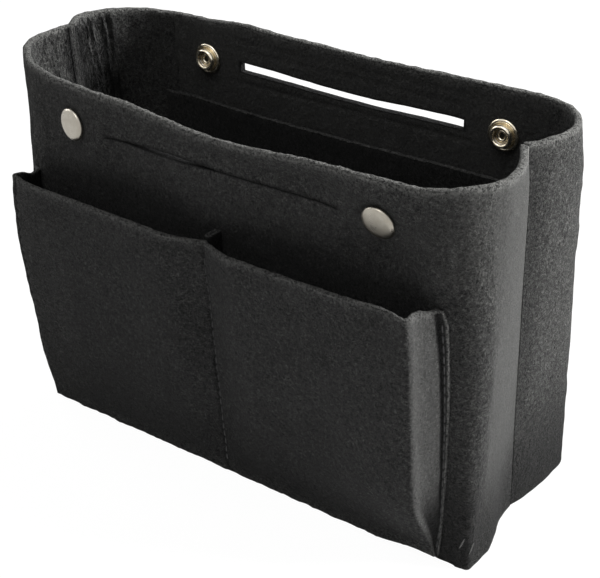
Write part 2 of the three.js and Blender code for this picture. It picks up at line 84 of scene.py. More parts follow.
# The shells' corners on the base and at the rim: half length, rounding along the shell, rounding
# across it, and how late the end turns in to its crease
CORNERS = {
    ("front", -1): ((107, 9, 9, 2), (116.2, 40, 28, 2)),
    ("front", 1): ((112.6, 2, 2, 1.3), (114, 24, 20, 2)),
    ("rear", -1): ((110, 8, 8, 2), (121, 50, 26, 2)),
    ("rear", 1): ((110, 8, 10, 2.6), (114, 30, 22, 2)),
}
CREASES = {-1: (105, 115), 1: (106.5, 106.5)}
FLANGE_REACH = 3.5
FLANGE_FELT = 2.4
LIP_RADIUS = 0.7
LIP_FILLET = 0.4
SEAM_GAP = 0.06
RIM_ROUND = 1.3

# Slots, the length that they share and how far their upper lips droop
SLOT_HALF = 54
REAR_SLOT_HEIGHT = 4.5
FRONT_SLIT_HEIGHT = 1.8
FRONT_SLIT_Z = SNAP_Z - 1.4
SLOT_DROOP = 0.6
SLOT_SAG = 1.4

# The place and half length of the part where the front slit gapes, and the pressed grooves that
# run beside both slots as (height, depth)
SLIT_GAPE = (-22, 24)
FRONT_GROOVES = ((FRONT_SLIT_Z + 4.5, 0.3), (FRONT_SLIT_Z - 5.2, 0.3))
REAR_GROOVES = ((SNAP_Z + 7, 0.4), (SNAP_Z - 7.5, 0.4), (HEIGHT - 7, 0.3))

# Front pocket: half widths, how far its felt stands off at the seam, its sides with their
# flanges, and the divider behind the seam
POCKET_HALF_TOP = 94.5
POCKET_HALF_FOOT = 99.5
POCKET_BASE_DEPTH = 0.3
POCKET_SEAM_DEPTH = 8
POCKET_SEAM_WIDTH = 11
POCKET_RISE_SHARES = (1, 0.66, 0.48, 0.4, -0.15, 0.2, 0.12, 0.3, 0.2)
POCKET_FLANGE_TOP = 4.6
POCKET_FLANGE_FOOT = 0.6
POCKET_BULGE_LEFT = 1.9
GUSSET_SWELL = 2.2
GUSSET_BOW = 1.3
CORNER_RADII = {-1: 1.2, 1: 2.8}
FOLD_WIDTH = 0.8
DIVIDER_FOOT = 24
DIVIDER_HALF = 1.6

# Steps across the pocket's sides
FLANGE_STEPS = 7
GUSSET_STEPS = 14
TURN_STEPS = 5

# How the rims stand: the band below them that moves, the sag and the flare of the front one, its
# rise by the left crease, the sags and the bump of the rear one as (place, half length, depth),
# how far the right end is drawn in, and the wave that runs through all the felt
RIM_BAND = 14
FRONT_SAG = 4
FRONT_SAG_HALF = 54
BETWEEN_SAG = 2.3
BETWEEN_FLARE = 1.4
FRONT_FLARE = 3
CREASE_RISE = 2
REAR_SAGS = ((24, 66, 1.1), (-72, 50, 1.1), (-53, 22, -1.6))
PINCH = 1.6
WAVE_LENGTH = 46
WAVE_DEPTHS = (0.4, 0.9, 0.3)

# The felt round the snaps: how steeply it is tilted and how far it has sunk and slid
TILT_LEFT = 0.19
TILT_RIGHT = 0.27
SINK_FRONT = 1.8
SINK_REAR = 0.7
SLIDE = 0.8

# Lumps of the felt as (size, seed), and the folds beside the left seam
LUMPS = ((3.6, 5), (8.7, 6))
LUMP_DEPTH = 0.13
SEAM_FOLD_WAYS = (4.5, 8.5, 11.5, 15.5, 22.5, 26)
SEAM_FOLD_DEPTH = 1.8
SEAM_FOLD_WIDTH = 0.9
WRINKLE_DEPTH = 1.1

# Painted shade at the foot of each shell's right end: how dark it is, and up to which height
PAINTED_FOOT_SHADES = {"front": (0.72, 60), "rear": (0.86, 75)}

# Snap fasteners
CAP_RADIUS = 6.7
CAP_RISE = 1.7
CAP_EDGE = 0.7
POST_RADIUS = 1.6
POST_LIP = 2.2
STUD_HEIGHT = 3.6
STUD_FLANGE = 5.6
SNAP_BORE = 1.9
SOCKET_RADIUS = 6.65
SOCKET_HEIGHT = 3.4
SOCKET_FLOOR = 0.8
BEAD_RADIUS = 5.9
BACK_CAP_RADIUS = 6.25
BACK_CAP_RISE = 0.6
WIRE_RADIUS = 0.25
TURNED_SIDES = 64
AXIS_NEAR = 1e-6

# Stitches and their thread
STITCH = 3.2
STITCH_GAP = 0.9
THREAD_RADIUS = 0.33
STITCH_TAPER = (0.5, 0.95, 1, 0.95, 0.5)


def lerp(a, b, share):
    return a + (b - a) * share


def smoothstep(low, high, value):
    share = np.clip((value - low) / (high - low), 0, 1)
    return share * share * (3 - 2 * share)


def hump(x, centre, width):
    """1 at the centre, falling smoothly to 0 at a distance of width."""
    return np.cos(np.minimum(np.abs(x - centre) / width, 1) * math.pi / 2) ** 2


def dip(x, centre, width):
    """A groove's section: 1 at the centre, next to nothing beyond twice its width."""
    return np.exp(-(((x - centre) / width) ** 2))


LATTICE_SIZE = 32


def lumps(points, size, seed):
    """Smooth random values from -1 to 1 in space, with lumps about that size."""
    table = np.random.default_rng(seed).uniform(-1, 1, (LATTICE_SIZE,) * 3)
    scaled = np.asarray(points) / size
    low = np.floor(scaled).astype(int)
    share = scaled - low
    share = share * share * (3 - 2 * share)
    total = 0
    for corner in np.ndindex(2, 2, 2):
        index = (low + corner) % LATTICE_SIZE
        weight = np.prod(np.where(np.array(corner) == 1, share, 1 - share), axis=-1)
        total = total + weight * table[index[..., 0], index[..., 1], index[..., 2]]
    return total


def by_snaps(points):
    """1 far from the snap fasteners, 0 on them."""
    away = np.hypot(np.abs(points[..., 0]) - SNAP_X, points[..., 2] - SNAP_Z)
    return smoothstep(7, 20, away)


def settle(points):
    """How the soft felt stands: its rims sag and lean out, and it waves a little. One field for
    all the pieces, so that neighbours stay together."""
    moved = np.array(points, float)
    x, y, z = np.moveaxis(np.array(points, float), -1, 0)
    front = 1 - smoothstep(0, MIDDLE, y)
    near_rim = smoothstep(HEIGHT - RIM_BAND, HEIGHT, z)
    by_crease = 1 - smoothstep(MIDDLE + 6, MIDDLE + 26, y)
    between = front * smoothstep(-100, -50, x) * (1 - smoothstep(86, 110, x))
    sag = FRONT_SAG * front * hump(x, 0, FRONT_SAG_HALF) + BETWEEN_SAG * between
    sag = sag - CREASE_RISE * smoothstep(-98, -112, x) * by_crease
    for place, half, depth in REAR_SAGS:
        sag = sag + (1 - front) * depth * hump(x, place, half)
    wave = np.stack([lumps(points, WAVE_LENGTH, seed) for seed in (1, 2, 3)], axis=-1)
    free = (smoothstep(2, 40, z) * by_snaps(moved))[..., None]
    moved = moved + wave * free * np.array(WAVE_DEPTHS)
    moved[..., 2] -= sag * near_rim
    moved[..., 1] -= near_rim * (FRONT_FLARE * front * hump(x, 45, 55) + BETWEEN_FLARE * between)
    pinch = (1 - front) * smoothstep(95, 114, x) * smoothstep(HEIGHT - 18, HEIGHT, z)
    moved[..., 0] -= PINCH * pinch
    moved[..., 0] += (1 - front) * PINCH * smoothstep(-20, SNAP_X, x) * (1 - smoothstep(90, 108, x))
    left, right = [by_snap(points, side) * (1 - near_rim) for side in (-1, 1)]
    moved[..., 1] -= front * left * TILT_LEFT * (x + SNAP_X)
    moved[..., 1] -= front * right * TILT_RIGHT * (z - SNAP_Z)
    moved[..., 2] -= right * lerp(SINK_REAR, SINK_FRONT, front)
    moved[..., 0] += SLIDE * front * (left + right)
    return moved


def by_snap(points, side):
    """1 on one side's snap fasteners, falling to 0 around them."""
    away = np.hypot(points[..., 0] - side * SNAP_X, points[..., 2] - SNAP_Z)
    return 1 - smoothstep(8, 26, away)


def normals_of(grid):
    along = np.gradient(grid, axis=0)
    up = np.gradient(grid, axis=1)
    normal = np.cross(along, up)
    return normal / np.maximum(np.linalg.norm(normal, axis=-1, keepdims=True), 1e-9)


def felted(grid, depth=1.0):
    """Lumps the surface of a grid of points as needled felt is lumped, most where it is bent, and
    not on the seams between the two shells."""
    bent = (1 + nap_at(grid)) * smoothstep(0.4, 4, np.abs(grid[..., 1] - MIDDLE))
    height = LUMP_DEPTH * sum(lumps(grid, size, seed) for size, seed in LUMPS) * bent
    height = height * lerp(0.2, 1, by_snaps(grid)) * depth
    return grid + normals_of(grid) * height[..., None]


def nap_at(points):
    """How open and fuzzy the felt is: 1 on the bent ends, little on the flat walls, and next to
    none on the pressed lip of the front shell's right end."""
    x, y, z = np.moveaxis(points, -1, 0)
    bent = np.where(x > 0, smoothstep(84, 110, x), smoothstep(60, 100, -x))
    open_part = np.maximum(smoothstep(98, 128, z), 1 - smoothstep(4, 16, z))
    smooth_front = (x > 60) * (y < MIDDLE)
    nap = lerp(0.25, 1, bent * np.where(smooth_front, lerp(0.3, 1, open_part), 1))
    by_rim = np.maximum(0.55 * smoothstep(HEIGHT - 54, HEIGHT - 20, z), 1 - smoothstep(3, 11, z))
    return np.maximum(nap, by_rim) * (1 - 0.92 * smoothstep(0.35, 1, pressed_and_lit_at(points)))


def pressed_and_lit_at(points):
    """1 on the lip of the front shell's right end, whose felt is pressed smooth and painted lighter, a
    painted highlight where the light falls on it. The top of that end is painted lighter too, painted light.
    """
    x, y, z = np.moveaxis(points, -1, 0)
    lip = smoothstep(MIDDLE - 36, MIDDLE - 30, y) * (y < MIDDLE) * (x > 0) * smoothstep(2, 42, z)
    by_rim = 0.35 * smoothstep(108, 140, z) * smoothstep(88, 106, x) * (y < MIDDLE)
    return np.maximum(lip, by_rim)


def link(name, mesh):
    obj = bpy.data.objects.new(name, mesh)
    bpy.context.scene.collection.objects.link(obj)
    return obj


def mesh_object(name, points, faces, material, attributes=None, sharp=50):
    """A piece from points in the box's frame, in millimetres."""
    mesh = bpy.data.meshes.new(name)
    placed = np.array(points, float) * MM + ORIGIN
    mesh.from_pydata(placed.tolist(), [], faces)
    mesh.update()
    for key, values in (attributes or {}).items():
        layer = mesh.attributes.new(key, "FLOAT", "POINT")
        layer.data.foreach_set("value", np.array(values, np.float32))
    rest = mesh.attributes.new("rest_place", "FLOAT_VECTOR", "POINT")
    rest.data.foreach_set("vector", placed.astype(np.float32).ravel())
    mesh.polygons.foreach_set("use_smooth", [True] * len(mesh.polygons))
    mesh.set_sharp_from_angle(angle=math.radians(sharp))
    mesh.materials.append(material)
    if signed_volume(mesh) < 0:
        mesh.flip_normals()
    return link(name, mesh)


def signed_volume(mesh):
    mesh.calc_loop_triangles()
    places = np.zeros(len(mesh.vertices) * 3)
    mesh.vertices.foreach_get("co", places)
    corners = np.zeros(len(mesh.loop_triangles) * 3, int)
    mesh.loop_triangles.foreach_get("vertices", corners)
    a, b, c = places.reshape(-1, 3)[corners.reshape(-1, 3)].transpose(1, 0, 2)
    return np.einsum("ij,ij->", a, np.cross(b, c)) / 6


def band(first, second, count):
    """Faces between two closed rings of that many points, from the index where each starts."""
    ahead = [(i + 1) % count for i in range(count)]
    return [(first + i, first + k, second + k, second + i) for i, k in enumerate(ahead)]


def edge_ring(out, into, before_out, before_into, bulge):
    """Points over a cut edge, round it from the outer face to the inner one."""
    away = (out - before_out) + (into - before_into)
    away = away / np.maximum(np.linalg.norm(away, axis=-1, keepdims=True), 1e-9)
    ring = []
    for angle in np.radians((22, 50, 90, 130, 158)):
        across = 0.5 - 0.5 * math.cos(angle)
        ring.append(lerp(out, into, across) + away * bulge * math.sin(angle))
    return np.array(ring)


def felt_sheet(name, outer, inner, material, hole=None, bulge=RIM_ROUND, worn=(1, 1, 1, 1),
               shade=None, pressed_and_lit=None, shade_inside=None, painted_light_inside=0):
    """A closed felt sheet between two grids of points [column][row], whose top and bottom edges
    are rounded. hole is the slot's (first column, last column, first row, last row). worn says
    how much the cut edges at the top, the bottom, the first and the last column show. shade and
    shade_inside give the painted shade on both faces, in creases and other shaded places. Another
    argument gives where the outer face is pressed smooth and painted lighter, a painted highlight,
    and the last one how much painted light the inner face gets, evenly."""
    columns, rows = outer.shape[:2]
    count = columns * rows
    top = edge_ring(outer[:, -1], inner[:, -1], outer[:, -2], inner[:, -2], bulge)
    foot = edge_ring(outer[:, 0], inner[:, 0], outer[:, 1], inner[:, 1], min(bulge, 0.3))
    rings = np.concatenate((top, foot)).transpose(1, 0, 2)
    rings = rings + 0.22 * lumps(rings, 1.7, 8)[..., None] * np.array((0.5, 1, 1))
    steps = len(top)
    points = np.concatenate((outer.reshape(-1, 3), inner.reshape(-1, 3), rings.reshape(-1, 3)))

    def at(column, row, side):
        return side * count + column * rows + row

    def over_edge(column, foot_end):
        start = 2 * count + column * 2 * steps + (steps if foot_end else 0)
        row = 0 if foot_end else rows - 1
        return [at(column, row, 0), *range(start, start + steps), at(column, row, 1)]

    faces = []
    for c in range(columns - 1):
        for r in range(rows - 1):
            if hole and hole[0] <= c < hole[1] and hole[2] <= r < hole[3]:
                continue
            faces.append((at(c, r, 0), at(c + 1, r, 0), at(c + 1, r + 1, 0), at(c, r + 1, 0)))
            faces.append((at(c, r, 1), at(c, r + 1, 1), at(c + 1, r + 1, 1), at(c + 1, r, 1)))
        for foot_end in (False, True):
            a, b = over_edge(c, foot_end), over_edge(c + 1, foot_end)
            for i in range(steps + 1):
                quad = (a[i], b[i], b[i + 1], a[i + 1])
                faces.append(quad[::-1] if foot_end else quad)
    for c, last in ((0, False), (columns - 1, True)):
        for r in range(rows - 1):
            quad = (at(c, r, 0), at(c, r + 1, 0), at(c, r + 1, 1), at(c, r, 1))
            faces.append(quad[::-1] if last else quad)
        faces.append(over_edge(c, False)[::1 if last else -1])
        faces.append(over_edge(c, True)[::-1 if last else 1])
    if hole:
        c0, c1, r0, r1 = hole
        loop = [(c, r0) for c in range(c0, c1)] + [(c1, r) for r in range(r0, r1)]
        loop += [(c, r1) for c in range(c1, c0, -1)] + [(c0, r) for r in range(r1, r0, -1)]
        for (ca, ra), (cb, rb) in zip(loop, loop[1:] + loop[:1]):
            faces.append((at(ca, ra, 1), at(cb, rb, 1), at(cb, rb, 0), at(ca, ra, 0)))

    wear = edge_wear(outer, worn)
    # Where the felt is pressed smooth it is also painted lighter, painted light.
    smooth_and_lit = pressed_and_lit(outer) if pressed_and_lit else pressed_and_lit_at(outer)
    nap, creased = nap_at(outer), creased_at(outer)
    # Painted shade on the outer face, and on the inner one.
    dark = shade(outer) if shade else np.zeros((columns, rows))
    within = shade_inside(inner) if shade_inside else dark
    # The slot's edges are painted dark, painted shade, and show no wear.
    if hole:
        wear[hole[0]:hole[1] + 1, hole[2]:hole[3] + 1] = 0
        dark[hole[0]:hole[1] + 1, hole[2]:hole[3] + 1] = 0.95
    on_rings = np.zeros(2 * steps * columns)
    ring_wear = np.tile(EDGE_WEAR * np.repeat((worn[0], worn[1]), steps), columns)
    parts = {
        "wear": (wear, wear, ring_wear),
        "shade": (dark, within, on_rings),
        "creased": (0.4 * creased, creased, on_rings),
        "nap": (nap, nap, on_rings + 1),
        # Painted light on the inner face, evenly.
        "pressed_and_lit": (smooth_and_lit, np.full(count, painted_light_inside), on_rings),
    }
    attributes = {key: np.concatenate([part.ravel() for part in three]) for key, three in parts.items()}
    return mesh_object(name, points, faces, material, attributes)


EDGE_WEAR = 0.8


def edge_wear(grid, worn):
    """How pale and fuzzy the felt is, falling off from its cut edges."""
    up = np.linalg.norm(np.diff(grid, axis=1), axis=2)
    along = np.linalg.norm(np.diff(grid, axis=0), axis=2)
    from_foot = np.concatenate((np.zeros((len(grid), 1)), np.cumsum(up, axis=1)), axis=1)
    from_first = np.concatenate((np.zeros((1, grid.shape[1])), np.cumsum(along, axis=0)), axis=0)
    ways = (from_foot[:, -1:] - from_foot, from_foot, from_first, from_first[-1:] - from_first)
    return np.maximum.reduce([EDGE_WEAR * share * np.exp(-way / 1.1) for share, way in zip(worn, ways)])


def row_heights(foot, top):
    """Heights of a grid's rows, closer together by the top edge."""
    rows = np.linspace(foot, top - 5, int((top - foot) / GRID))
    return np.concatenate((rows, top - np.array((3.6, 2.4, 1.5, 0.7, 0))))


def corner_at(shell, side, z):
    base, rim = CORNERS[shell, side]
    return [lerp(b, r, z / HEIGHT) for b, r in zip(base, rim)]


def face_at(corner, inset, x):
    """Distance behind the flat outer face, at x from the middle, of a face that much inside."""
    half, length, depth = corner[:3]
    share = np.clip((x - half + length) / (length - inset), 0, 1)
    return inset + (depth - inset) * (1 - np.sqrt(1 - share * share))


def end_line(corner, crease, inset, stop_y, radius, waist=0):
    """A face of half an end in plan, from the wall round the corner to the flange's tip. waist is
    how much it turns in before its crease."""
    half, _, depth, power = corner
    shares = np.sin(np.linspace(0, 1, 36) * math.pi / 2)
    x = lerp(WALL_HALF, half - inset, shares)
    y = face_at(corner, inset, x)
    shares = np.linspace(0, 1, 24)[1:]
    turned_in = lerp(shares**power, smoothstep(0.25, 0.95, shares), waist)
    x = np.append(x, half - inset - (half - crease) * turned_in)
    y = np.append(y, lerp(depth, stop_y - radius, shares))
    turn = np.linspace(0, math.pi / 2, 6)[1:]
    x = np.append(x, x[-1] - radius * (1 - np.cos(turn)))
    y = np.append(y, stop_y - radius + radius * np.sin(turn))
    shares = np.linspace(0, 1, 8)[1:]
    return np.append(x, lerp(x[-1], crease - FLANGE_REACH, shares)), np.append(y, y[-1] + 0 * shares)


def creased_at(points):
    """How much the felt is crumpled: most inside the rear shell's left end, by the seam. Its pits
    are darkened there with painted shade.
    """
    x, y = points[..., 0], points[..., 1]
    rear = smoothstep(-86, -100, x) * (y > MIDDLE) * (1 - smoothstep(MIDDLE + 20, MIDDLE + 32, y))
    return np.maximum(rear, 0.8 * smoothstep(-70, -100, x) * (y < MIDDLE))


def seam_folds(grid):
    """Heights of the stitched folds and wrinkles beside the rear shell's left seam."""
    x, y, z = np.moveaxis(grid, -1, 0)
    at = y + 0.8 * lumps(grid * (0.2, 0.2, 1), 9, 12)
    folds = sum(dip(at, MIDDLE + way, SEAM_FOLD_WIDTH) for way in SEAM_FOLD_WAYS)
    near = (1 - smoothstep(MIDDLE + 18, MIDDLE + 42, y)) * smoothstep(-70, -92, x)
    wrinkles = WRINKLE_DEPTH * lumps(grid * (1, 1, 0.4), 3.2, 14) * near
    return (wrinkles - SEAM_FOLD_DEPTH * folds) * smoothstep(HEIGHT, HEIGHT - 4, z)


def shell_end(shell, side, material):
    rows = row_heights(0.3, HEIGHT - RIM_ROUND)
    grids = []
    lip = LIP_RADIUS if shell == "front" else LIP_FILLET
    seam_y = MIDDLE - SEAM_GAP / 2
    for inset, stop_y, radius in ((0, seam_y, lip), (FELT, seam_y - FLANGE_FELT, LIP_FILLET)):
        grid = []
        for z in rows:
            waist = (1 - smoothstep(8, 45, z)) * (shell == "front" and side > 0)
            crease = lerp(*CREASES[side], z / HEIGHT)
            x, y = end_line(corner_at(shell, side, z), crease, inset, stop_y, radius, waist)
            y = y if shell == "front" else DEPTH - y
            grid.append(np.stack((side * x, y, np.full(len(x), z)), axis=1))
        grids.append(settle(np.array(grid).transpose(1, 0, 2)))
    outer, inner = grids
    outer, inner = felted(outer), felted(inner)
    label = "left" if side < 0 else "right"
    if shell == "rear" and side < 0:
        inner += normals_of(inner) * seam_folds(inner)[..., None]

    # Painted shade: darker towards the foot of the right ends, and on the rear shell beside the seam, where
    # the front shell's lip shades it.
    def seam_shade(grid):
        x, y, z = np.moveaxis(grid, -1, 0)
        crease = dip(y, MIDDLE, 8) * (shell == "rear")
        deep, reach = PAINTED_FOOT_SHADES[shell]
        foot = deep * (1 - smoothstep(5, reach, z)) * smoothstep(WALL_HALF, WALL_HALF + 14, x)
        return np.maximum(foot, 0.42 * crease)

    # Painted shade in the gap by the flange inside the seam, and in the folds beside the rear shell's left
    # seam.
    def shade_within(grid):
        away, wide = (FLANGE_FELT, 1.8) if side > 0 else (FLANGE_FELT + 0.6, 2.3)
        seam = dip(np.abs(grid[..., 1] - MIDDLE), away, wide)
        if shell == "front" or side > 0:
            return seam
        return np.maximum(seam, 0.9 * np.clip(-seam_folds(grid) / 1.3, 0, 1))

    made = felt_sheet(f"felt_end_{shell}_{label}", outer, inner, material, worn=(1, 0.3, 0, 0),
                      shade=seam_shade, shade_inside=shade_within)
    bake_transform(made)
    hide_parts(f"end_{shell}_{label}")


def wall(shell, slot_z, slot_height, material, grooves, gape=None):
    """A long wall, two of its grid's rows on the slot's lips and two columns at the slot's ends."""
    side_columns = np.linspace(SLOT_HALF, WALL_HALF, 21)[1:]
    slot_columns = np.linspace(-SLOT_HALF, SLOT_HALF, 61)
    xs = np.concatenate((-side_columns[::-1], slot_columns, side_columns))
    outer, inner = [], []
    for x in xs:
        height = slot_height * (lerp(0.12, 1, float(hump(x, *gape)) ** 0.5) if gape else 1)
        sunk = 0 if gape else SLOT_SAG * (smoothstep(-SLOT_HALF, SLOT_HALF, x) + 0.55 * hump(x, 0, SLOT_HALF))
        low = slot_z - height / 2 - sunk
        high = slot_z + height / 2 - sunk - (0 if gape else SLOT_DROOP * hump(x, 0, SLOT_HALF))
        rows = np.concatenate((np.linspace(0.3, low - 9, 66), low - np.linspace(8, 0, 12)))
        rim = HEIGHT - RIM_ROUND
        rows = np.concatenate((rows, np.linspace(high, rim - 3, 12), rim - np.array((2.2, 1.4, 0.7, 0))))
        side = -1 if x < 0 else 1
        for grid, inset in ((outer, 0), (inner, FELT)):
            y = np.array([face_at(corner_at(shell, side, z), inset, abs(x)) for z in rows])
            y = y if shell == "front" else DEPTH - y
            grid.append(np.stack((np.full(len(rows), x), y, rows), axis=1))
    outer, inner = settle(np.array(outer)), settle(np.array(inner))
    ends = 1 - smoothstep(SLOT_HALF, SLOT_HALF + 12, np.abs(outer[..., 0]))
    for z, depth in grooves:
        groove = depth * dip(outer[..., 2], z, 0.8) * ends
        facing = 1 if shell == "front" else -1
        outer[..., 1] += groove * facing
        inner[..., 1] -= groove * facing
    first = len(side_columns)
    hole = (first, first + len(slot_columns) - 1, 77, 78)
    made = felt_sheet(f"felt_{shell}_wall", felted(outer), felted(inner), material, hole, worn=(1, 0.4, 0, 0),
                      # Painted shade: the front wall is darker just above the pocket.
                      shade=lambda grid: 0.25 * (1 - smoothstep(100, 132, grid[..., 2])) * (shell == "front"),
                      # Painted light: the rear wall's inner face is painted paler.
                      painted_light_inside=0.55 if shell == "rear" else 0)
    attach(made, f"{shell}_shell")
    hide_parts(f"{shell}_wall")


def base_panel(material):
    """The felt floor, inside the shells' corners and notched round the seam flanges."""
    inset = FELT + GAP
    quarters = []
    for side, shell in ((1, "front"), (1, "rear"), (-1, "rear"), (-1, "front")):
        corner = corner_at(shell, side, FELT)
        corner[0] = corner_at(shell, side, 0)[0]
        x, y = end_line(corner, CREASES[side][0], inset, MIDDLE - inset, 0)
        x[-1] = CREASES[side][0] - inset - FLANGE_REACH - GAP
        y = y if shell == "front" else DEPTH - y
        points = np.stack((side * x, y), axis=1)
        quarters.append(points if (side > 0) == (shell == "front") else points[::-1])
    outline = np.concatenate(quarters)
    count = len(outline)
    middle = outline.mean(axis=0)
    inward = (middle - outline) / np.linalg.norm(middle - outline, axis=1)[:, None]
    points, faces = [], []
    levels = ((0.0, 0.5), (0.5, 0.0), (FELT - 0.5, 0.0), (FELT, 0.5))
    for z, back in levels:
        points += [(px, py, z) for px, py in outline + inward * back]
    for start in range(0, (len(levels) - 1) * count, count):
        faces += band(start, start + count, count)
    faces.append(tuple(range(count))[::-1])
    faces.append(tuple(range((len(levels) - 1) * count, len(levels) * count)))
    made = mesh_object("felt_base", points, faces, material)
    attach(made, "base")
    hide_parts("base_panel")


def pocket_standoff(x, z):
    """How far the back of the pocket's felt is from the front wall. Its right end is fuller."""
    share = np.clip((z - POCKET_FOOT) / (POCKET_TOP - POCKET_FOOT), 0, 1)
    full = smoothstep(-0.02, 0.32, share) * lerp(0.97, 1.02, share)
    swell = lerp(1 - (1 - share) ** 2, full, smoothstep(45, 90, x))
    depth = lerp(POCKET_BASE_DEPTH, POCKET_DEPTH, swell)
    seam = np.minimum(lerp(POCKET_BASE_DEPTH, POCKET_SEAM_DEPTH, share), depth)
    crease = 1.1 * share**0.5 * dip(x, 0, 1.1)
    tuck = 1.8 * share**6 * hump(x, 82, 13)
    return lerp(depth, seam, dip(x, 0, POCKET_SEAM_WIDTH)) - crease - tuck + GAP


def pocket_rise(x, z):
    """How much higher than its seam the pocket's top edge stands."""
    places = np.linspace(-1, 1, len(POCKET_RISE_SHARES))
    share = np.clip((z - POCKET_FOOT) / (POCKET_TOP - POCKET_FOOT), 0, 1)
    return POCKET_RISE * np.interp(x / POCKET_HALF_TOP, places, POCKET_RISE_SHARES) * share**3


def pocket_line(z, side):
    """The outer and inner faces of half the pocket in plan: the panel from the seam to its corner,
    the gusset back to the wall, and the flange sewn on the wall."""
    share = z / POCKET_TOP
    half = lerp(POCKET_HALF_FOOT, POCKET_HALF_TOP, share)
    half += POCKET_BULGE_LEFT * float(smoothstep(6, 30, z)) * (side < 0)
    near = np.array((0, 0.5, 1, 1.6, 2.4, 3.4, 4.6, 6, 7.6, 9.4))
    radius = min(CORNER_RADII[side], 0.5 * pocket_standoff(half, z))
    by_edge = half - radius - np.array((3, 2.4, 1.8, 1.2, 0.6, 0))
    panel = np.concatenate((near, np.linspace(near[-1], by_edge[0], 50)[1:], by_edge[1:]))
    depth = pocket_standoff(side * (half - radius), z)
    root = half + GUSSET_SWELL * math.sin(math.pi * share**1.3) + GUSSET_BOW * share**4
    edge = root + lerp(POCKET_FLANGE_FOOT, POCKET_FLANGE_TOP, share**0.6) - 1.3 * smoothstep(0.95, 1, share)
    root += 1.7 * float(smoothstep(0.03, 0.2, share)) * (side > 0)
    bow = GUSSET_BOW * share**5
    turn = np.linspace(0, math.pi / 2, TURN_STEPS + 1)[1:]
    gusset = np.linspace(0, 1, GUSSET_STEPS + 1)[1:]
    flange = np.linspace(0, 1, FLANGE_STEPS + 1)[1:]
    bowed = bow * np.sin(math.pi * gusset) ** 0.8

    outer_y = -(pocket_standoff(side * panel, z) + POCKET_FELT)
    wall_y = -(GAP + POCKET_FELT) + 0.7 * flange
    curve = gusset * gusset * (3 - 2 * gusset)
    out_x = np.concatenate((panel, half - radius + radius * np.sin(turn), lerp(half, root, curve) - bowed,
                            lerp(root, edge, flange)))
    out_y = np.concatenate((outer_y, outer_y[-1] + radius * (1 - np.cos(turn)),
                            lerp(min(outer_y[-1] + radius, wall_y[0]), wall_y[0], gusset), wall_y))
    within = 0.4
    inside = half - POCKET_FELT - within
    in_x = np.concatenate((np.minimum(panel, inside), inside + within * np.sin(turn),
                           lerp(half, root, curve) - bowed - POCKET_FELT,
                           lerp(root - POCKET_FELT, edge, flange)))
    in_y = np.concatenate((-pocket_standoff(side * panel, z), -depth + within * (1 - np.cos(turn)),
                           lerp(min(-depth + within, -GAP), -GAP, gusset), -GAP + 0 * flange))
    return (out_x, out_y), (in_x, in_y)


def fold_x(z):
    """Where the stitched fold along the pocket's left edge ends on its front."""
    share = z / POCKET_TOP
    return -(lerp(POCKET_HALF_FOOT, POCKET_HALF_TOP, share) + lerp(0, -0.9, share))


